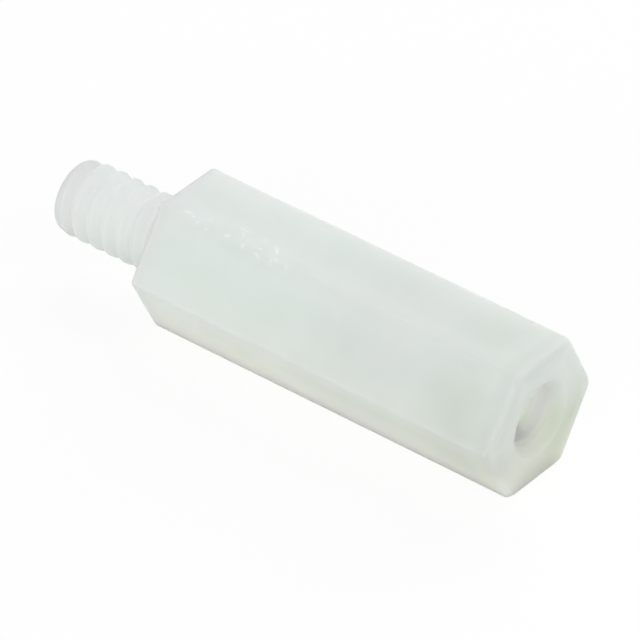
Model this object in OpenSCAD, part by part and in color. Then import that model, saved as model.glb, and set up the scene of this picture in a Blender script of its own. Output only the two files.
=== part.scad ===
// Hex standoff, moulded in one piece from natural nylon: a hexagonal body with a threaded stud
// at one end and a blind threaded hole at the other. It lies on one of its six flats.
// X is the axis: the stud points to -X and the hole opens to +X, with +Z up.
// The origin is on the axis, in the plane of the shoulder round the foot of the stud.
// The fine thread itself is not cut here. The stud is the cylinder that its crests lie in, and
// the hole is the cylinder that the crests of its own thread leave free.

/* [Hex body] */
// Width across the flats
across_flats = 6.35; // [5.8:0.05:9]
// Length of the body, from the shoulder to the open end
body_length = 19.05; // [15:0.05:50]
// Radius along the six long ridges
ridge_radius = 0.25; // [0.1:0.05:0.5]
// Radius round the edge of the open end
open_edge_radius = 0.25; // [0.1:0.05:0.4]
// Radius round the edge of the shoulder
shoulder_edge_radius = 0.2; // [0.1:0.05:0.4]
// How far the corners of the open end are cut back towards the axis
corner_cut = 0.23; // [0.1:0.01:0.4]

/* [Stud] */
// Diameter over the thread's crests
stud_diameter = 3.505; // [2.8:0.005:4.2]
// Length from the shoulder to the tip
stud_length = 5.85; // [4:0.05:12]
// Diameter of the flat tip
tip_diameter = 3.1; // [2:0.05:3.2]
// Diameter where the rounded nose meets the lead-in taper
nose_diameter = 3.28; // [3.2:0.01:3.4]
// Length of the rounded nose
nose_length = 0.125; // [0.05:0.005:0.3]
// Length of the taper from the nose to the first full crest
lead_length = 0.475; // [0.2:0.025:0.8]
// Height of the slope that strengthens the foot of the stud
foot_height = 0.15; // [0.05:0.05:0.3]

/* [Threaded hole] */
// Diameter inside the thread's crests
hole_diameter = 2.79; // [2.2:0.01:3.2]
// Depth of the straight wall, from the open end
hole_depth = 9.5; // [5:0.1:13]
// Diameter of the countersunk mouth, at the open end
mouth_diameter = 3.7; // [3.3:0.05:4.4]
// Angle across the countersink, in degrees
mouth_angle = 90; // [60:5:120]
// Angle across the pointed bottom, in degrees
bottom_angle = 118; // [90:2:150]

/* [Hidden] */
$fn = 96;

apothem = across_flats / 2;
ridge_centre = (apothem - ridge_radius) / cos(30);
ridge_reach = ridge_centre + ridge_radius;
mouth_depth = (mouth_diameter - hole_diameter) / 2 / tan(mouth_angle / 2);
bottom_height = hole_diameter / 2 / tan(bottom_angle / 2);
// Cutters and profiles run this far past the faces that they meet
overrun = 0.5;

// The body's cross-section: six round ridges and the flats that touch them
module hex_section() {
    for (side = [0:5])
        rotate(60 * side) translate([ridge_centre, 0]) circle(r = ridge_radius);
    polygon([for (side = [0:5], turn = [-30, 30])
        ridge_centre * [cos(60 * side), sin(60 * side)]
        + ridge_radius * [cos(60 * side + turn), sin(60 * side + turn)]]);
}

// A rectangle from the shoulder to the open end, its corners rounded as each end's edge is
module rounded_side() {
    straight = body_length - shoulder_edge_radius - open_edge_radius;
    translate([shoulder_edge_radius, -apothem]) square([straight, across_flats]);
    rounded_end(shoulder_edge_radius);
    translate([body_length, 0]) mirror([1, 0]) rounded_end(open_edge_radius);
}

// One end of that rectangle: a strip as wide as the radius, and a round corner at each side
module rounded_end(radius) {
    width = across_flats - 2 * radius;
    translate([0, -width / 2]) square([radius, width]);
    for (side = [-1, 1])
        translate([radius, side * width / 2]) circle(r = radius);
}

// One pair of opposite flats, whose four end edges are rounded along their whole length
module flat_pair() {
    rotate([90, 0, 0])
        linear_extrude(height = 2 * across_flats, center = true) rounded_side();
}

// A round bar that just clears the ridges, chamfered at 45 degrees at the open end, where it
// takes the six corners off
module corner_relief() {
    clear = ridge_reach + overrun;
    rotate([0, 90, 0]) rotate_extrude() polygon([
        [0, -overrun],
        [clear, -overrun],
        [clear, body_length - corner_cut - overrun],
        [ridge_reach - corner_cut, body_length],
        [0, body_length]]);
}

// Three pairs of flats meet in the hexagon, so the rounded end edges mitre at its corners
module hex_body() {
    intersection() {
        rotate([90, 0, 90]) linear_extrude(height = body_length) hex_section();
        intersection_for (turn = [0, 60, 120]) rotate([turn, 0, 0]) flat_pair();
        corner_relief();
    }
}

// The stud, turned from a profile of radius against distance from the shoulder
module stud() {
    radius = stud_diameter / 2;
    crest_end = stud_length - nose_length - lead_length;
    rotate([0, -90, 0]) rotate_extrude() polygon([
        [0, -overrun],
        [radius, -overrun],
        [radius + foot_height, 0],
        [radius, foot_height],
        [radius, crest_end],
        [nose_diameter / 2, stud_length - nose_length],
        [tip_diameter / 2, stud_length],
        [0, stud_length]]);
}

// What the hole takes away: a countersunk mouth, the straight wall and a pointed bottom
module threaded_hole() {
    radius = hole_diameter / 2;
    mouth_overrun = overrun * tan(mouth_angle / 2);
    translate([body_length, 0, 0]) rotate([0, -90, 0]) rotate_extrude() polygon([
        [0, -overrun],
        [mouth_diameter / 2 + mouth_overrun, -overrun],
        [radius, mouth_depth],
        [radius, hole_depth],
        [0, hole_depth + bottom_height]]);
}

module standoff() {
    color([0.87, 0.90, 0.87])
        difference() {
            union() {
                hex_body();
                stud();
            }
            threaded_hole();
        }
}

standoff();
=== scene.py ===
"""Looks of the hex standoff: its moulded nylon with the fine thread, the floor, light and camera.

X is the standoff's axis, with the stud to -X, and +Z is up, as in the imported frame.
Lengths are in millimetres, and MM turns them into metres. The floor and the lamps are in metres.
A turn is an angle round the axis, in degrees from +Y towards +Z.
"""
import math

import bpy
import numpy as np
from mathutils import Matrix, Vector


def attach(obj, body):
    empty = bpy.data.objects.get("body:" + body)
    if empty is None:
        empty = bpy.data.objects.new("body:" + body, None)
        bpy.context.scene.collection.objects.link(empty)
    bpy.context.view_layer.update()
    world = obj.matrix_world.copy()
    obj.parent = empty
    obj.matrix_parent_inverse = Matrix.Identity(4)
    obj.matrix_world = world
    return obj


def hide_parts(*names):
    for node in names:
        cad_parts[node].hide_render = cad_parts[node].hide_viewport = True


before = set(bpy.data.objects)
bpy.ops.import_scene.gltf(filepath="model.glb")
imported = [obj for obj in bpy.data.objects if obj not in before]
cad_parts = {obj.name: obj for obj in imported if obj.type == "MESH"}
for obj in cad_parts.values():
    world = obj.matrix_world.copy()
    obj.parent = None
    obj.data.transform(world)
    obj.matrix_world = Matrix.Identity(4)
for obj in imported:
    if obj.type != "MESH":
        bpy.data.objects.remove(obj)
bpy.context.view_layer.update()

MM = 0.001
COS_30 = math.cos(math.radians(30))
TAN_30 = math.tan(math.radians(30))

# ---- Sizes, as in the part's source ----

APOTHEM = 3.175
BODY_LENGTH = 19.05
RIDGE_RADIUS = 0.25
OPEN_EDGE_RADIUS = 0.25
SHOULDER_EDGE_RADIUS = 0.2
CORNER_CUT = 0.23                # how far the corners of the open end are cut back
STUD_RADIUS = 1.7525             # over the crests of the thread
STUD_LENGTH = 5.85
TIP_RADIUS = 1.55
NOSE_RADIUS = 1.64
NOSE_LENGTH = 0.125
LEAD_LENGTH = 0.475
FOOT_HEIGHT = 0.15
HOLE_RADIUS = 1.395              # inside the crests of the thread
HOLE_DEPTH = 9.5
MOUTH_RADIUS = 1.85
BOTTOM_HALF_ANGLE = math.radians(59)
RIDGE_CENTRE = (APOTHEM - RIDGE_RADIUS) / COS_30
RIDGE_REACH = RIDGE_CENTRE + RIDGE_RADIUS

# ---- The 6-32 thread, right-handed ----

PITCH = 0.79375
STUD_THREAD_PHASE = 0.353        # in pitches: crests are at PITCH * (k + turn / 360 - phase)
STUD_CREST_HALF = 0.07           # half the width of a crest
STUD_ROOT_HALF = 0.06
STUD_THREAD_DEPTH = 0.43
STUD_THREAD_START = 0.27         # the first groove is this far from the tip
STUD_THREAD_RUN_IN = 0.06        # and reaches its depth within this length
STUD_THREAD_FADE = (0.75, 0.35)  # the groove runs out between these distances from the shoulder
HOLE_THREAD_PHASE = 0.1          # in pitches, for the middle of the groove
HOLE_GROOVE_HALF = 0.06
HOLE_FLANK = 0.2064
HOLE_THREAD_DEPTH = STUD_RADIUS - HOLE_RADIUS
HOLE_THREAD_RUN_IN = (0.3, 2.6)  # the groove deepens between these depths below the open end
HOLE_THREAD_FADE = (8.0, 8.6)    # and runs out between these

# ---- Small roundings ----

LEAST_CORNER = 0.04              # the least radius of the hexagon's corners
CORNER_SOFTNESS = 0.03           # where the cut corners of the open end meet its rounded edge
COUNTERSINK_SOFTNESS = 0.02      # where the countersink meets the wall
TIP_BEND_IN = 0.08               # how far the rounding of the tip's edge reaches into the flat
TIP_BEND_OUT = 0.06              # and along the nose
NOSE_BEND = 0.05                 # how far the rounding between nose and taper reaches
LIP = 0.05                       # the same round the mouth

# ---- Mesh density: the turns of the columns, and the stations along each column ----

RIDGE_STEP = 0.5                 # degrees between columns on a ridge
RIDGE_COLUMNS = 4                # from the middle of a ridge to one side
RIDGE_HALF = 1.992               # degrees from the middle of a ridge to where the flat begins
FLAT_STEPS = 20                  # steps across a flat
WORN_RIDGE = 120.0               # the turn of the worn ridge
WORN_TURNS = (103.5, 124.5)      # where the columns beside it are close together
WORN_STEP = 0.42                 # degrees between those
WORN_TURN_GAP = 0.2              # degrees from those to any other column
WORN_X = (0.7, 8.3)
WORN_X_STEP = 0.032
WORN_X_GAP = 0.02
TIP_RINGS = (0.0, 0.3, 0.7, 1.05, 1.3)  # radii of the stations on the flat tip
TIP_BEND_POINTS = 6
NOSE_BEND_POINTS = 5
LIP_POINTS = 5
# Distances of the stations from a crest of the stud, and from a groove of the hole
STUD_OFFSETS = (0.0, 0.045, 0.08, 0.12, 0.17, 0.22, 0.27, 0.31, 0.342)
HOLE_OFFSETS = (0.0, 0.03, 0.06, 0.1, 0.15, 0.21, 0.266, 0.31)
STATION_GAP = 0.012              # a station that follows a thread keeps clear of a fixed one
RUN_IN_SHARES = (0.0, 0.25, 0.5, 0.75, 1.0)  # of the way along the first groove's run-in
NOSE_GAP = 0.06                  # from the rounding of the nose to the first fixed station
FOOT_GAP = 0.03                  # from the last station of the thread to the foot
FOOT_ARC = (0, 18, 36, 54, 72, 90)  # degrees, as for the other arcs
SHOULDER_SHARES = (0.06, 0.2, 0.4, 0.6, 0.8, 0.94)  # of the way out over the shoulder
SHOULDER_EDGE_ARC = (0, 12, 24, 36, 48, 60, 75, 90)
BY_SHOULDER = (0.3, 0.5)         # stations on the flats, from the shoulder
EVEN_X = (1.0, 18.15)            # where they are evenly spaced
EVEN_X_STEP = 0.75
BY_OPEN_END = (0.8, 0.5, 0.36)   # and the last ones, from the open end
OPEN_EDGE_ARC = (90, 80, 70, 60, 50, 42, 34, 26, 18, 10, 0)
END_FACE_SHARES = (0.05, 0.15, 0.3, 0.5, 0.7, 0.88)  # of the way in over the end face
BY_BOTTOM = (0.0, 0.3, 0.6)      # stations on the wall of the hole, from its end
LIP_GAP = 0.02                   # from the lip of the mouth to the first station of the hole
BOTTOM_SHARES = (0.96, 0.85, 0.65, 0.4, 0.18, 0.0)  # of the hole's radius, down its point


def smooth(value, start, end):
    """0 before start, 1 after end, and a smooth step between."""
    t = np.clip((value - start) / (end - start), 0.0, 1.0)
    return t * t * (3.0 - 2.0 * t)


def soften(share):
    """Rounds off both ends of a straight slope from 0 to 1."""
    return 0.5 * share + 0.5 * smooth(share, 0.0, 1.0)


def soft_max(a, b, width):
    """The greater of two, with a round transition about as wide as given."""
    return 0.5 * (a + b + np.sqrt((a - b) ** 2 + width ** 2))


def soft_min(a, b, width):
    """The smaller of two, with a round transition about as wide as given."""
    return 0.5 * (a + b - np.sqrt((a - b) ** 2 + width ** 2))


# ---- Cross-sections ----

def hexagon_radius(turn, inset):
    """Distance from the axis to a hexagon with round corners, inset from the body's outline."""
    corner = max(RIDGE_RADIUS - inset, LEAST_CORNER)
    apothem = APOTHEM - inset
    centre = (apothem - corner) / COS_30
    from_ridge = (turn + 30.0) % 60.0 - 30.0
    tangent = math.degrees(math.atan2(corner / 2, centre + corner * COS_30))
    if abs(from_ridge) < tangent:
        angle = math.radians(from_ridge)
        return centre * math.cos(angle) + math.sqrt(corner ** 2 - (centre * math.sin(angle)) ** 2)
    return apothem / math.cos(math.radians(30.0 - abs(from_ridge)))


def from_helix(x, turn, phase):
    """Distance along X from the nearest turn of a right-handed helix."""
    pitches = x / PITCH - turn / 360.0 + phase
    return np.abs((pitches + 0.5) % 1.0 - 0.5) * PITCH


def stud_radius(x, turn):
    """The surface of the stud, with its thread."""
    nose_end = -STUD_LENGTH + NOSE_LENGTH
    limit = np.interp(x, [nose_end, nose_end + LEAD_LENGTH], [NOSE_RADIUS, STUD_RADIUS])
    flank = PITCH / 2 - STUD_CREST_HALF - STUD_ROOT_HALF
    from_crest = from_helix(x, turn, STUD_THREAD_PHASE)
    fall = soften(np.clip((from_crest - STUD_CREST_HALF) / flank, 0.0, 1.0))
    start = -STUD_LENGTH + STUD_THREAD_START
    share = smooth(x, start, start + STUD_THREAD_RUN_IN)
    share = share * (1.0 - smooth(x, -STUD_THREAD_FADE[0], -STUD_THREAD_FADE[1]))
    return limit - STUD_THREAD_DEPTH * fall * share


def hole_radius(depth, turn):
    """The surface of the hole at a depth below the open end: countersink, thread and wall."""
    from_groove = from_helix(BODY_LENGTH - depth, turn, HOLE_THREAD_PHASE)
    rise = soften(1.0 - np.clip((from_groove - HOLE_GROOVE_HALF) / HOLE_FLANK, 0.0, 1.0))
    rise = rise * smooth(depth, *HOLE_THREAD_RUN_IN) * (1.0 - smooth(depth, *HOLE_THREAD_FADE))
    wall = HOLE_RADIUS + HOLE_THREAD_DEPTH * rise
    return soft_max(wall, MOUTH_RADIUS - depth, COUNTERSINK_SOFTNESS)


def shoulder_edge(turn, angle):
    """The x and radius of a point on the rounded edge of the shoulder."""
    inset = SHOULDER_EDGE_RADIUS * (1.0 - math.sin(angle))
    return SHOULDER_EDGE_RADIUS * (1.0 - math.cos(angle)), hexagon_radius(turn, inset)


def open_edge(turn, angle):
    """The x and radius of a point on the rounded edge of the open end, or on a cut corner."""
    inset = OPEN_EDGE_RADIUS * (1.0 - math.sin(angle))
    x = BODY_LENGTH - OPEN_EDGE_RADIUS * (1.0 - math.cos(angle))
    cut = RIDGE_REACH - CORNER_CUT + (BODY_LENGTH - x)
    return x, float(soft_min(hexagon_radius(turn, inset), cut, CORNER_SOFTNESS))


def bend(start, corner, end, count):
    """So many points on a quadratic curve from start to end that rounds a corner."""
    a, b, c = (np.array(p, float) for p in (start, corner, end))
    return [tuple((1 - t) ** 2 * a + 2 * t * (1 - t) * b + t * t * c)
            for t in np.linspace(0.0, 1.0, count)]


def unit(x, radius):
    """A slope of the profile, as a vector of length 1."""
    slope = np.array([x, radius])
    return slope / np.linalg.norm(slope)


# ---- One column of the mesh ----
# Each row is (key, x, radius), from the centre of the tip to the bottom of the hole. The keys grow
# from row to row, and they say which rows of two neighbouring columns belong side by side.

TIP_KEY = 0.0
THREAD_KEY = 30.0
SHOULDER_KEY = 40.0
SIDE_KEY = 60.0
END_FACE_KEY = 90.0
HOLE_KEY = 110.0
BOTTOM_KEY = 130.0


def numbered(first_key, points):
    """Rows whose keys count up from the first one."""
    return [(first_key + i, x, radius) for i, (x, radius) in enumerate(points)]


def helix_stations(low, high, turn, phase, offsets, fixed):
    """X of the stations that follow a thread between low and high, with the fixed ones."""
    first = math.floor(low / PITCH - turn / 360.0 + phase) - 1
    last = math.ceil(high / PITCH - turn / 360.0 + phase) + 1
    steps = sorted({side * offset for offset in offsets for side in (-1, 1)} | {PITCH / 2})
    stations = [PITCH * (k + turn / 360.0 - phase) + step
                for k in range(first, last + 1) for step in steps]
    clear = [x for x in stations
             if low < x < high and min(abs(x - other) for other in fixed) > STATION_GAP]
    return np.array(sorted(clear + fixed))


def tip_rows():
    """The flat tip, and the rounded edges of the nose."""
    tip = np.array([-STUD_LENGTH, TIP_RADIUS])
    nose = np.array([-STUD_LENGTH + NOSE_LENGTH, NOSE_RADIUS])
    nose_slope = unit(NOSE_LENGTH, NOSE_RADIUS - TIP_RADIUS)
    lead_slope = unit(LEAD_LENGTH, STUD_RADIUS - NOSE_RADIUS)
    flat = [(-STUD_LENGTH, radius) for radius in TIP_RINGS]
    tip_edge = bend(tip - (0.0, TIP_BEND_IN), tip, tip + TIP_BEND_OUT * nose_slope,
                    TIP_BEND_POINTS)
    nose_edge = bend(nose - NOSE_BEND * nose_slope, nose, nose + NOSE_BEND * lead_slope,
                     NOSE_BEND_POINTS)
    return numbered(TIP_KEY, flat + tip_edge + nose_edge)


def thread_rows(turn):
    """The threaded length of the stud."""
    low = -STUD_LENGTH + NOSE_LENGTH + NOSE_BEND
    high = -FOOT_HEIGHT - FOOT_GAP
    start = -STUD_LENGTH + STUD_THREAD_START
    run_in = [start + STUD_THREAD_RUN_IN * share for share in RUN_IN_SHARES]
    fixed = [low + NOSE_GAP, *run_in, high]
    xs = helix_stations(low, high, turn, STUD_THREAD_PHASE, STUD_OFFSETS, fixed)
    return [(THREAD_KEY + x, x, radius) for x, radius in zip(xs, stud_radius(xs, turn))]


def shoulder_rows(turn):
    """The round foot of the stud, and the flat shoulder."""
    foot = [(-FOOT_HEIGHT * (1.0 - math.sin(a)), STUD_RADIUS + FOOT_HEIGHT * (1.0 - math.cos(a)))
            for a in np.radians(FOOT_ARC)]
    inner = STUD_RADIUS + FOOT_HEIGHT
    outer = hexagon_radius(turn, SHOULDER_EDGE_RADIUS)
    face = [(0.0, inner + share * (outer - inner)) for share in SHOULDER_SHARES]
    return numbered(SHOULDER_KEY, foot + face)


def side_stations(turn):
    """X of the stations along the flats, which are close together by the worn ridge."""
    stations = [*BY_SHOULDER, *np.arange(*EVEN_X, EVEN_X_STEP)]
    stations += [BODY_LENGTH - gap for gap in BY_OPEN_END]
    if WORN_TURNS[0] <= turn <= WORN_TURNS[1]:
        low, high = WORN_X
        stations = [x for x in stations if not low - WORN_X_GAP < x < high + WORN_X_GAP]
        stations = sorted(stations + list(np.arange(low, high, WORN_X_STEP)))
    return stations


def side_rows(turn):
    """The outside of the body, with the round edges of both ends."""
    section = hexagon_radius(turn, 0.0)
    points = [shoulder_edge(turn, angle) for angle in np.radians(SHOULDER_EDGE_ARC)]
    points += [(x, section) for x in side_stations(turn)]
    points += [open_edge(turn, angle) for angle in np.radians(OPEN_EDGE_ARC)]
    return [(SIDE_KEY + x, x, radius) for x, radius in points]


def end_face_rows(turn):
    """The flat end face, and the round lip of the mouth."""
    outer = open_edge(turn, 0.0)[1]
    inner = MOUTH_RADIUS + LIP
    face = [(BODY_LENGTH, outer + share * (inner - outer)) for share in END_FACE_SHARES]
    down = LIP * math.sqrt(0.5)
    lip = bend((BODY_LENGTH, inner), (BODY_LENGTH, MOUTH_RADIUS),
               (BODY_LENGTH - down, MOUTH_RADIUS - down), LIP_POINTS)
    return numbered(END_FACE_KEY, face + lip)


def hole_rows(turn):
    """The countersink, the threaded wall and the pointed bottom."""
    top = BODY_LENGTH - LIP
    bottom = BODY_LENGTH - HOLE_DEPTH
    fixed = [*(bottom + rise for rise in BY_BOTTOM), top - LIP_GAP]
    xs = helix_stations(bottom, top, turn, HOLE_THREAD_PHASE, HOLE_OFFSETS, fixed)[::-1]
    radii = hole_radius(BODY_LENGTH - xs, turn)
    wall = [(HOLE_KEY + BODY_LENGTH - x, x, radius) for x, radius in zip(xs, radii)]
    height = HOLE_RADIUS / math.tan(BOTTOM_HALF_ANGLE)
    point = [(bottom - height * (1.0 - share), HOLE_RADIUS * share) for share in BOTTOM_SHARES]
    return wall + numbered(BOTTOM_KEY, point)


def column(turn):
    """All rows of the column at one turn."""
    return (tip_rows() + thread_rows(turn) + shoulder_rows(turn)
            + side_rows(turn) + end_face_rows(turn) + hole_rows(turn))


def column_turns():
    """Where the columns stand: close together on the ridges, and beside the worn one."""
    flat = 60 - 2 * RIDGE_HALF
    turns = set()
    for ridge in range(0, 360, 60):
        turns |= {ridge + side * k * RIDGE_STEP for k in range(RIDGE_COLUMNS) for side in (-1, 1)}
        turns |= {ridge - RIDGE_HALF, ridge + RIDGE_HALF}
        turns |= {ridge + RIDGE_HALF + k * flat / FLAT_STEPS for k in range(1, FLAT_STEPS)}
    low, high = WORN_TURNS
    turns = {turn % 360 for turn in turns
             if not low - WORN_TURN_GAP < turn % 360 < high + WORN_TURN_GAP}
    turns |= set(np.linspace(low, high, round((high - low) / WORN_STEP) + 1))
    return sorted(turns)


# ---- Wear on the ridge between the top flat and the near one ----
# (x, distance from the ridge across the top flat, half length, half width, depth, heading)
# A heading is in degrees, from +X across the top flat. The last three are wide, shallow scuffs.

NICKS = (
    (1.37, 0.36, 0.17, 0.075, 0.036, 10),
    (1.72, 0.22, 0.08, 0.060, 0.028, 50),
    (2.10, 0.08, 0.09, 0.065, 0.030, 65),
    (2.40, 0.58, 0.14, 0.055, 0.012, 98),
    (2.60, -0.08, 0.08, 0.055, 0.018, 75),
    (3.68, 0.12, 0.12, 0.085, 0.032, 41),
    (3.98, 0.95, 0.15, 0.065, 0.036, 5),
    (4.17, 0.55, 0.20, 0.060, 0.014, -52),
    (4.55, -0.02, 0.13, 0.065, 0.024, 98),
    (5.13, 0.86, 0.10, 0.090, 0.024, 15),
    (5.31, 0.26, 0.07, 0.065, 0.022, 60),
    (5.40, -0.15, 0.15, 0.065, 0.022, -31),
    (5.95, 0.60, 0.25, 0.065, 0.030, -52),
    (6.10, -0.12, 0.11, 0.060, 0.028, 98),
    (6.32, 0.05, 0.09, 0.080, 0.030, 20),
    (6.88, -0.05, 0.14, 0.050, 0.013, -52),
    (1.90, 0.26, 0.50, 0.280, 0.005, 25),
    (4.60, 0.35, 0.70, 0.350, 0.005, 10),
    (5.95, 0.25, 0.50, 0.400, 0.005, 0),
)
NICK_CURVE = 0.1                 # how much a nick curves along its length
NICK_FULLNESS = 0.8              # below 1, the bottom of a nick is broad
WHITE_DEPTH = 0.035              # a nick this deep is whitened in full
WHITE_FALL = 0.7                 # how fast the whitening fades round a nick


def dent_depth(x, across):
    """How deep the surface is dented, and how whitened it is, at points by the worn ridge."""
    depth = np.zeros_like(x)
    white = np.zeros_like(x)
    for nick_x, nick_across, half_length, half_width, deep, heading in NICKS:
        angle = math.radians(heading)
        ahead = (x - nick_x) * math.cos(angle) + (across - nick_across) * math.sin(angle)
        beside = -(x - nick_x) * math.sin(angle) + (across - nick_across) * math.cos(angle)
        beside = beside + NICK_CURVE * ahead ** 2 / half_length
        reach = (ahead / half_length) ** 2 + (beside / half_width) ** 2
        depth = np.maximum(depth, deep * np.clip(1.0 - reach, 0.0, 1.0) ** NICK_FULLNESS)
        white = np.maximum(white, np.exp(-WHITE_FALL * reach) * min(deep / WHITE_DEPTH, 1.0))
    return depth, white


# ---- The mesh ----

NOT_A_SIDE = -1.0                # stands for the turn of a point that isn't on the body's sides
SIDE_MARGIN = 0.3                # the sides end this far before the open end


def stitch(left, right, left_keys, right_keys):
    """Triangles between two neighbouring columns. The one whose next key is less moves on."""
    faces = []
    i = 0
    j = 0
    while i < len(left) - 1 or j < len(right) - 1:
        right_is_done = j == len(right) - 1
        if right_is_done or (i < len(left) - 1 and left_keys[i + 1] <= right_keys[j + 1]):
            faces.append((left[i], right[j], left[i + 1]))
            i += 1
        else:
            faces.append((left[i], right[j], right[j + 1]))
            j += 1
    return faces


def standoff_mesh():
    """The points, the triangles, and the turn of each point on the body's sides."""
    points = [(-STUD_LENGTH, 0.0, 0.0)]
    side_turns = [NOT_A_SIDE]
    columns = []
    keys = []
    for turn in column_turns():
        rows = column(turn)
        inner_rows = rows[1:-1]
        angle = math.radians(turn)
        columns.append(range(len(points), len(points) + len(inner_rows)))
        keys.append([key for key, x, radius in inner_rows])
        for key, x, radius in inner_rows:
            points.append((x, radius * math.cos(angle), radius * math.sin(angle)))
            on_side = SIDE_KEY + SHOULDER_EDGE_RADIUS < key < SIDE_KEY + BODY_LENGTH - SIDE_MARGIN
            side_turns.append(turn if on_side else NOT_A_SIDE)
    last = len(points)
    bottom = rows[-1][1]
    points.append((bottom, 0.0, 0.0))
    side_turns.append(NOT_A_SIDE)
    faces = []
    for k, left in enumerate(columns):
        after = (k + 1) % len(columns)
        right = columns[after]
        faces.append((0, right[0], left[0]))
        faces += stitch(left, right, keys[k], keys[after])
        faces.append((last, left[-1], right[-1]))
    return np.array(points), np.array(faces), np.array(side_turns)


def wear(points, side_turns):
    """Presses the nicks into the ridge. Returns the points and how whitened each one is."""
    from_ridge = side_turns - WORN_RIDGE
    from_flat_middle = 30 - np.clip(np.abs(from_ridge), 0, 30)
    across = APOTHEM * (TAN_30 - np.tan(np.radians(from_flat_middle)))
    across = -np.sign(from_ridge) * across
    near = (side_turns > WORN_TURNS[0] - 1) & (side_turns < WORN_TURNS[1] + 1)
    depth, white = dent_depth(points[:, 0], across)
    outward = points * np.array([0.0, 1.0, 1.0])
    outward = outward / np.maximum(np.linalg.norm(outward, axis=1), 1e-9)[:, None]
    return points - outward * (depth * near)[:, None], white * near


def point_normals(points, faces):
    """Normals weighted by area, so that the flats stay flat beside their round edges."""
    a, b, c = (points[faces[:, k]] for k in range(3))
    face_normals = np.cross(b - a, c - a)
    normals = np.zeros_like(points)
    for k in range(3):
        np.add.at(normals, faces[:, k], face_normals)
    return normals / np.maximum(np.linalg.norm(normals, axis=1), 1e-12)[:, None]


def build_standoff():
    """The whole standoff as one closed mesh, with an attribute for where it is whitened: by wear, and
    partly as painted glints.
    """
    points, faces, side_turns = standoff_mesh()
    points, white = wear(points, side_turns)
    mesh = bpy.data.meshes.new("nylon_standoff")
    mesh.from_pydata((points * MM).tolist(), [], faces.tolist())
    mesh.update()
    scuff_and_glint = mesh.attributes.new("scuff_and_glint", "FLOAT", "POINT")
    scuff_and_glint.data.foreach_set("value", white.astype(np.float32))
    mesh.polygons.foreach_set("use_smooth", [True] * len(mesh.polygons))
    mesh.normals_split_custom_set_from_vertices(point_normals(points, faces).tolist())
    piece = bpy.data.objects.new("nylon_standoff", mesh)
    bpy.context.scene.collection.objects.link(piece)
    return piece


# ---- Shader nodes ----

class Nodes:
    """Adds shader nodes to one material or world and links them."""

    def __init__(self, owner):
        owner.use_nodes = True
        self.tree = owner.node_tree
        self.tree.nodes.clear()

    def add(self, kind, **values):
        """A new node with its settings."""
        node = self.tree.nodes.new(kind)
        for name, value in values.items():
            setattr(node, name, value)
        return node

    def link(self, source, target):
        """Joins an output to a socket."""
        self.tree.links.new(source, target)

    def put(self, socket, value):
        """Gives a socket a number, a colour or the output of another node."""
        if isinstance(value, (int, float)):
            socket.default_value = value
        elif isinstance(value, tuple):
            socket.default_value = (*value, 1.0)
        else:
            self.link(value, socket)

    def math(self, operation, *values):
        """One math node on numbers and outputs."""
        node = self.add("ShaderNodeMath", operation=operation)
        for socket, value in zip(node.inputs, values):
            self.put(socket, value)
        return node.outputs["Value"]

    def product(self, first, *others):
        """Several fields multiplied together."""
        for other in others:
            first = self.math("MULTIPLY", first, other)
        return first

    def spread(self, value, low, high, out_low, out_high):
        """A smooth step from out_low at low to out_high at high."""
        node = self.add("ShaderNodeMapRange", interpolation_type="SMOOTHSTEP")
        self.link(value, node.inputs["Value"])
        node.inputs["From Min"].default_value = low
        node.inputs["From Max"].default_value = high
        node.inputs["To Min"].default_value = out_low
        node.inputs["To Max"].default_value = out_high
        return node.outputs["Result"]

    def rise(self, value, span):
        """0 below the span and 1 above it. The span is in millimetres."""
        return self.spread(value, span[0] * MM, span[1] * MM, 0.0, 1.0)

    def fall(self, value, span, least=0.0):
        """1 below the span and the least above it. The span is in millimetres."""
        return self.spread(value, span[0] * MM, span[1] * MM, 1.0, least)

    def noise(self, vector, scale, detail, roughness):
        """Noise, with its scale in cells a metre."""
        node = self.add("ShaderNodeTexNoise")
        self.link(vector, node.inputs["Vector"])
        node.inputs["Scale"].default_value = scale
        node.inputs["Detail"].default_value = detail
        node.inputs["Roughness"].default_value = roughness
        return node.outputs["Fac"]

    def mix(self, share, a, b, blend="MIX"):
        """From a to b as the share goes from 0 to 1."""
        node = self.add("ShaderNodeMix", data_type="RGBA", blend_type=blend)
        self.put(node.inputs[0], share)
        self.put(node.inputs[6], a)
        self.put(node.inputs[7], b)
        return node.outputs[2]

    def tint(self, share, a, b):
        """From a to a times b as the share goes from 0 to 1."""
        return self.mix(share, a, b, "MULTIPLY")


# ---- The nylon: its colours, its tints of painted shade, its painted light, and how far light travels inside it ----

NYLON = (0.822, 0.874, 0.846)
NYLON_OPEN_END_SHADE = (0.762, 0.812, 0.755)     # painted shade: darker towards the open end, where the hole leaves the wall thin, and towards the bottom
NYLON_LIT_LOW = (0.965, 0.985, 0.950)        # painted light: paler by the floor, where least light comes
# painted light: the stud is the same nylon as the body, paler, and palest at the tip
NYLON_STUD_LIT = (0.888, 0.957, 0.938)
NYLON_TIP_LIT = (0.925, 1.0, 0.975)
NYLON_FOOT_LIT = (0.940, 1.0, 0.985)         # painted light, as the next: paler, so that no dark line of shade shows
NYLON_SHOULDER_LIT = (0.955, 1.0, 0.975)
# painted light: paler in the hole, against the shade inside it
NYLON_BORE_LIT = (0.975, 1.0, 0.955)
# whitened by wear in the nicks, and partly painted glints
NYLON_SCUFF_AND_GLINT = (0.940, 1.0, 0.980)

CLOUD_TINT = (0.970, 0.982, 0.962)
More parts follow.
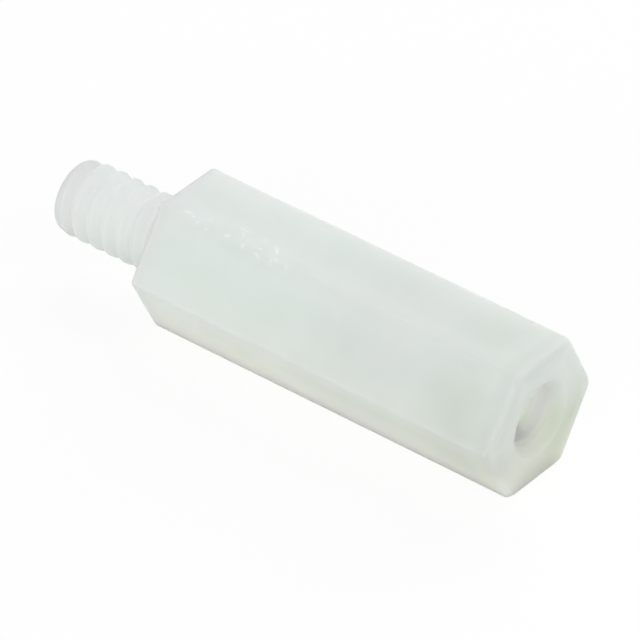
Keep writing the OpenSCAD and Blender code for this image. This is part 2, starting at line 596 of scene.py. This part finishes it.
# painted shade: yellower and a little darker towards the bottom
LOW_SHADE_TINT = (1.0, 0.985, 0.915)
RIM_SHADE_TINT = (0.945, 0.950, 0.940)         # painted shade from here on, against the glow of thin edges
RIM_LOW_SHADE_TINT = (0.940, 0.945, 0.940)
SIDE_SHADE_TINT = (0.955, 0.955, 0.960)
EDGE_SHADE_TINT = (0.810, 0.815, 0.810)
RIDGE_SHADE_TINT = (0.955, 0.955, 0.955)
FAR_SHADE_TINT = (0.835, 0.860, 0.805)

BODY_SCATTER = (2.5, 2.5, 2.5)           # mm that light travels inside before it turns
STUD_SCATTER = (9.0, 7.2, 8.5)           # further in the stud, whose thread it softens
TIP_SCATTER = (5.0, 4.5, 4.5)
SHOULDER_SCATTER = (1.2, 1.2, 1.2)
EDGE_SCATTER = (5.0, 5.0, 5.0)           # further along the open end's edge, which it softens
DEEP_SCATTER = (19.0, 27.0, 16.0)        # furthest in the hole, which glows

GLOSS_SMOOTH = 0.44
GLOSS_ROUGH = 0.54
SCUFF_POLISH = 0.2                       # how much less rough a scuffed place is
SPECULAR_LEVEL = 0.3
NYLON_IOR = 1.53
CLOUD_SCALE = 420.0                      # cells a metre
CLOUD_DETAIL = 3.0
CLOUD_ROUGHNESS = 0.5
CLOUD_RANGE = (0.35, 0.68)
GRAIN_SCALE = 5200.0                     # cells a metre
GRAIN_DETAIL = 4.0
GRAIN_ROUGHNESS = 0.6
GRAIN_RANGE = (0.3, 0.7)
BUMP_STRENGTH = 0.25
BUMP_HEIGHT = 0.02

# Where the fields change, in millimetres: along X, up Z, or outwards from the axis
OPEN_END_SHADE_X = (0.0, BODY_LENGTH)
OPEN_END_SHADE_Z = (-1.0, 3.2)
OPEN_END_SHADE_TOP = 0.35                        # the share of the painted shade that is left at the top
LOW_Z = (-3.2, 1.6)
LOWEST_Z = (-3.2, -0.6)
RIM_X = (14.0, 17.4)
RIM_END_X = (18.5, 19.05)
RIM_END = 0.25                           # the share of the painted shade that is left on the end face
RIM_LOW_Z = (-2.0, 0.2)
SIDE_X = (15.0, 17.6)
SIDE_END_X = (18.88, 19.045)
SIDE_Z = (0.4, 3.0)
SIDE_OUT = (2.3, 2.9)
STUD_X = (-0.3, 0.3)
STUD_OUT = (1.9, 2.3)
TIP_X = (-STUD_LENGTH, -3.6)
FOOT_X = (-2.4, -1.5)
FOOT_Z = (-1.2, 0.6)
BORE_X = (6.0, 8.0)
BORE_END_X = (18.15, 18.85)
BORE_OUT = (1.8, 2.1)
DEEP_END_X = (17.5, 18.3)
RAISED_Z = (-3.0, -1.0)                  # off the floor
RIDGE_OUT = (3.3, 3.6)
SHOULDER_X = (0.0, 0.4)
SHOULDER_OUT = (2.85, 3.08)
EDGE_X = (17.9, 19.0)
EDGE_OUT = (2.1, 3.12)
FAR_X = (18.0, 18.9)
FAR_OUT = (0.2, 3.2)
FAR_TURN = -55                           # towards the low far side


def along(n, place, turn):
    """How far a point is from the axis in the direction of one turn."""
    angle = math.radians(turn)
    node = n.add("ShaderNodeVectorMath", operation="DOT_PRODUCT")
    n.link(place, node.inputs[0])
    node.inputs[1].default_value = (0.0, math.cos(angle), math.sin(angle))
    return node.outputs["Value"]


def from_axis(n, place):
    """How far a point is from the axis."""
    across = n.add("ShaderNodeVectorMath", operation="MULTIPLY")
    n.link(place, across.inputs[0])
    across.inputs[1].default_value = (0.0, 1.0, 1.0)
    length = n.add("ShaderNodeVectorMath", operation="LENGTH")
    n.link(across.outputs["Vector"], length.inputs[0])
    return length.outputs["Value"]


def hexagon_reach(n, place):
    """Half the width across the flats of the hexagon that a point would lie on."""
    reach = 0.0
    for turn in (30, 90, 150):
        reach = n.math("MAXIMUM", reach, n.math("ABSOLUTE", along(n, place, turn)))
    return reach


def nylon_fields(n, place):
    """Fields from 0 to 1 over the object, each named after the part of it that it covers, or after
    the shade painted there.
    """
    parts = n.add("ShaderNodeSeparateXYZ")
    n.link(place, parts.inputs[0])
    x = parts.outputs["X"]
    z = parts.outputs["Z"]
    out = from_axis(n, place)
    reach = hexagon_reach(n, place)
    far = along(n, place, FAR_TURN)
    raised = n.rise(z, RAISED_Z)
    by_rim = n.rise(x, RIM_X)
    by_open_end = n.product(n.rise(x, SIDE_X), n.fall(x, SIDE_END_X))
    stud = n.product(n.fall(out, STUD_OUT), n.fall(x, STUD_X))
    bore = n.product(n.fall(out, BORE_OUT), n.rise(x, BORE_X), n.fall(x, BORE_END_X))
    return {
        # painted shade, darker towards the open end and the bottom
        "open_end_shade": n.product(n.rise(x, OPEN_END_SHADE_X), n.fall(z, OPEN_END_SHADE_Z, OPEN_END_SHADE_TOP)),
        "low": n.fall(z, LOW_Z),
        "lowest": n.fall(z, LOWEST_Z),
        "rim": n.product(by_rim, n.fall(x, RIM_END_X, RIM_END)),
        "rim_low": n.product(by_rim, n.fall(z, RIM_LOW_Z)),
        "side": n.product(by_open_end, n.fall(z, SIDE_Z), n.rise(out, SIDE_OUT)),
        "stud": stud,
        "tip": n.fall(x, TIP_X),
        "foot": n.product(stud, n.rise(x, FOOT_X), n.rise(z, FOOT_Z)),
        "bore": bore,
        "deep": n.product(bore, n.fall(x, DEEP_END_X)),
        "ridge": n.product(n.rise(out, RIDGE_OUT), raised),
        "shoulder": n.product(n.rise(reach, SHOULDER_OUT), n.fall(x, SHOULDER_X)),
        "edge": n.product(n.rise(reach, EDGE_OUT), raised, n.rise(x, EDGE_X)),
        "far": n.product(n.rise(x, FAR_X), n.rise(far, FAR_OUT)),
    }


def nylon_colour(n, place, fields, scuff_and_glint):
    """The base colour: that of the body with painted shade and light, then of the stud and the bore
    with painted light, clouded, and scuffed with partly painted glints.
    """
    # Painted shade: darker towards the open end and the bottom.
    tone = n.mix(fields["open_end_shade"], NYLON, NYLON_OPEN_END_SHADE)
    # Painted light: paler by the floor, against the shade that falls there.
    tone = n.mix(fields["lowest"], tone, NYLON_LIT_LOW)
    # Painted shade towards the open end, more of it low down, against the glow of its thin walls.
    tone = n.tint(fields["rim"], tone, RIM_SHADE_TINT)
    tone = n.tint(fields["rim_low"], tone, RIM_LOW_SHADE_TINT)
    # Painted shade on the outer flats by the open end, below the top.
    tone = n.tint(fields["side"], tone, SIDE_SHADE_TINT)
    # Painted shade on the rounded ridges and the open end's edges, against their bright bands.
    tone = n.tint(fields["ridge"], tone, RIDGE_SHADE_TINT)
    tone = n.tint(fields["edge"], tone, EDGE_SHADE_TINT)
    # Painted shade on the low far side of the open end.
    tone = n.tint(fields["far"], tone, FAR_SHADE_TINT)
    # Painted light by the shoulder's edge and the stud's foot, against the shade in the crease.
    tone = n.mix(fields["shoulder"], tone, NYLON_SHOULDER_LIT)
    # The stud's colours are painted light: paler than the body, palest at the tip and by the foot.
    stud = n.mix(fields["foot"], NYLON_STUD_LIT, NYLON_FOOT_LIT)
    stud = n.mix(fields["tip"], stud, NYLON_TIP_LIT)
    tone = n.mix(fields["stud"], tone, stud)
    # Painted light in the hole, against the shade inside it.
    tone = n.mix(fields["bore"], tone, NYLON_BORE_LIT)
    # Painted shade: yellower and a little darker towards the bottom.
    tone = n.tint(fields["low"], tone, LOW_SHADE_TINT)
    clouds = n.noise(place, CLOUD_SCALE, CLOUD_DETAIL, CLOUD_ROUGHNESS)
    tone = n.tint(n.spread(clouds, *CLOUD_RANGE, 0.0, 1.0), tone, CLOUD_TINT)
    # Nicks: whitened by wear, and partly painted glints.
    return n.mix(scuff_and_glint, tone, NYLON_SCUFF_AND_GLINT)


def nylon_scatter(n, fields):
    """How far light travels inside, for red, green and blue."""
    stud = n.mix(fields["tip"], STUD_SCATTER, TIP_SCATTER)
    scatter = n.mix(fields["stud"], BODY_SCATTER, stud)
    scatter = n.mix(fields["shoulder"], scatter, SHOULDER_SCATTER)
    scatter = n.mix(fields["edge"], scatter, EDGE_SCATTER)
    return n.mix(fields["deep"], scatter, DEEP_SCATTER)


def nylon_material():
    """Natural nylon: milky, slightly glossy, cloudy and finely grained."""
    material = bpy.data.materials.new("natural_nylon")
    n = Nodes(material)
    shader = n.add("ShaderNodeBsdfPrincipled", subsurface_method="RANDOM_WALK")
    output = n.add("ShaderNodeOutputMaterial")
    n.link(shader.outputs["BSDF"], output.inputs["Surface"])
    place = n.add("ShaderNodeTexCoord").outputs["Object"]
    scuff_and_glint = n.add("ShaderNodeAttribute", attribute_name="scuff_and_glint").outputs["Fac"]
    fields = nylon_fields(n, place)
    grain = n.noise(place, GRAIN_SCALE, GRAIN_DETAIL, GRAIN_ROUGHNESS)
    gloss = n.spread(grain, *GRAIN_RANGE, GLOSS_SMOOTH, GLOSS_ROUGH)
    gloss = n.math("SUBTRACT", gloss, n.math("MULTIPLY", scuff_and_glint, SCUFF_POLISH))
    bump = n.add("ShaderNodeBump")
    bump.inputs["Strength"].default_value = BUMP_STRENGTH
    bump.inputs["Distance"].default_value = BUMP_HEIGHT * MM
    n.link(grain, bump.inputs["Height"])
    n.link(nylon_colour(n, place, fields, scuff_and_glint), shader.inputs["Base Color"])
    n.link(gloss, shader.inputs["Roughness"])
    n.link(bump.outputs["Normal"], shader.inputs["Normal"])
    n.link(nylon_scatter(n, fields), shader.inputs["Subsurface Radius"])
    shader.inputs["Subsurface Weight"].default_value = 1.0
    shader.inputs["Subsurface Scale"].default_value = MM
    shader.inputs["IOR"].default_value = NYLON_IOR
    shader.inputs["Specular IOR Level"].default_value = SPECULAR_LEVEL
    return material


# ---- Floor, world and lamps, in metres and watts ----

WHITE = (1.0, 1.0, 1.0)
FLOOR_HALF = 1.5
FLOOR_GAP = 0.000004             # the floor is this far under the standoff
FLOOR_BOUNCE = 0.96              # the grey of the floor for the light that falls on it
FLOOR_SHADE = 0.15               # the part of what the camera sees that is lit, for the shadow
FLOOR_WHITE = 0.87               # and the part that is plain white
WORLD_STRENGTH = 0.29
WORLD_WHITE = 1.0
AIM = (0.0066, 0.0, 0.0)         # the lamps point at the middle of the standoff

# Name, place, width and height, and power
SOFTBOXES = (
    ("front_box", (-0.03, -0.45, 0.09), (0.5, 0.16), 0.6),
    ("camera_box", (0.25, -0.34, 0.32), (0.4, 0.4), 0.66),
    ("right_box", (0.34, 0.06, 0.32), (0.36, 0.3), 0.50),
    ("back_box", (-0.05, 0.36, 0.26), (0.36, 0.36), 0.93),
)


def seen_directly(n):
    """1 for what the camera sees, straight or mirrored, and 0 for the light that falls on things."""
    path = n.add("ShaderNodeLightPath").outputs
    mirrored = n.math("MAXIMUM", path["Is Glossy Ray"], path["Is Transmission Ray"])
    return n.math("MAXIMUM", path["Is Camera Ray"], mirrored)


def matt(n, grey):
    """A matt grey surface."""
    shader = n.add("ShaderNodeBsdfDiffuse")
    n.put(shader.inputs["Color"], (grey, grey, grey))
    return shader.outputs[0]


def floor_material():
    """White for the camera and for what nylon mirrors, and a plain pale floor for all other light."""
    material = bpy.data.materials.new("pale_floor")
    n = Nodes(material)
    white = n.add("ShaderNodeEmission")
    n.put(white.inputs["Color"], WHITE)
    n.put(white.inputs["Strength"], FLOOR_WHITE)
    seen = n.add("ShaderNodeAddShader")
    n.link(matt(n, FLOOR_SHADE), seen.inputs[0])
    n.link(white.outputs[0], seen.inputs[1])
    choice = n.add("ShaderNodeMixShader")
    n.link(seen_directly(n), choice.inputs[0])
    n.link(matt(n, FLOOR_BOUNCE), choice.inputs[1])
    n.link(seen.outputs[0], choice.inputs[2])
    output = n.add("ShaderNodeOutputMaterial")
    n.link(choice.outputs[0], output.inputs["Surface"])
    return material


def add_floor():
    """A wide square floor that the standoff lies on."""
    z = -APOTHEM * MM - FLOOR_GAP
    signs = ((-1, -1), (1, -1), (1, 1), (-1, 1))
    mesh = bpy.data.meshes.new("floor")
    mesh.from_pydata([(x * FLOOR_HALF, y * FLOOR_HALF, z) for x, y in signs], [], [(0, 1, 2, 3)])
    mesh.materials.append(floor_material())
    floor = bpy.data.objects.new("floor", mesh)
    bpy.context.scene.collection.objects.link(floor)


def add_world():
    """A white backdrop for the camera, and a dimmer even light on the object."""
    world = bpy.data.worlds.new("studio")
    bpy.context.scene.world = world
    n = Nodes(world)
    background = n.add("ShaderNodeBackground")
    n.put(background.inputs["Color"], WHITE)
    strength = n.spread(seen_directly(n), 0.0, 1.0, WORLD_STRENGTH, WORLD_WHITE)
    n.link(strength, background.inputs["Strength"])
    output = n.add("ShaderNodeOutputWorld")
    n.link(background.outputs[0], output.inputs["Surface"])


def add_softbox(name, place, size, power):
    """A rectangular lamp that faces the standoff."""
    light = bpy.data.lights.new(name, "AREA")
    light.shape = "RECTANGLE"
    light.size, light.size_y = size
    light.energy = power
    box = bpy.data.objects.new(name, light)
    bpy.context.scene.collection.objects.link(box)
    box.location = place
    box.rotation_euler = (Vector(AIM) - Vector(place)).to_track_quat("-Z", "Y").to_euler()


# ---- Camera, as fitted to the outline of the body ----

CAMERA_AZIMUTH = 35.747
CAMERA_ELEVATION = 35.899
CAMERA_ROLL = 3.085
CAMERA_DISTANCE = 321.8          # from the standoff's origin, along the line of sight
PIXELS_PER_MM = 23.328           # at that distance
ORIGIN_PIXEL = (182.787, 245.612)
IMAGE_SIDE = 640
SENSOR_WIDTH = 36.0
CLIP_RANGE = (0.01, 10.0)        # metres


def add_camera():
    """The camera, set to one side by as much as the origin is off the middle of the picture."""
    azimuth = math.radians(CAMERA_AZIMUTH)
    elevation = math.radians(CAMERA_ELEVATION)
    roll = math.radians(CAMERA_ROLL)
    back = Vector((math.sin(azimuth) * math.cos(elevation),
                   -math.cos(azimuth) * math.cos(elevation),
                   math.sin(elevation)))
    level = Vector((math.cos(azimuth), math.sin(azimuth), 0.0))
    upright = back.cross(level)
    right = level * math.cos(roll) + upright * math.sin(roll)
    up = upright * math.cos(roll) - level * math.sin(roll)
    off_right = (ORIGIN_PIXEL[0] - IMAGE_SIDE / 2) / PIXELS_PER_MM
    off_down = (ORIGIN_PIXEL[1] - IMAGE_SIDE / 2) / PIXELS_PER_MM
    place = back * CAMERA_DISTANCE - right * off_right + up * off_down
    data = bpy.data.cameras.new("camera")
    data.sensor_width = SENSOR_WIDTH
    data.lens = PIXELS_PER_MM * CAMERA_DISTANCE / IMAGE_SIDE * SENSOR_WIDTH
    data.clip_start, data.clip_end = CLIP_RANGE
    camera = bpy.data.objects.new("camera", data)
    bpy.context.scene.collection.objects.link(camera)
    facing = Matrix((right, up, back)).transposed()
    camera.matrix_world = Matrix.Translation(place * MM) @ facing.to_4x4()
    bpy.context.scene.camera = camera


def main():
    """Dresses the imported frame."""
    standoff = build_standoff()
    standoff.data.materials.append(nylon_material())
    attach(standoff, "root")
    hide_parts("standoff")
    add_floor()
    add_world()
    for name, place, size, power in SOFTBOXES:
        add_softbox(name, place, size, power)
    add_camera()
    bpy.context.scene.view_settings.view_transform = "Standard"


main()
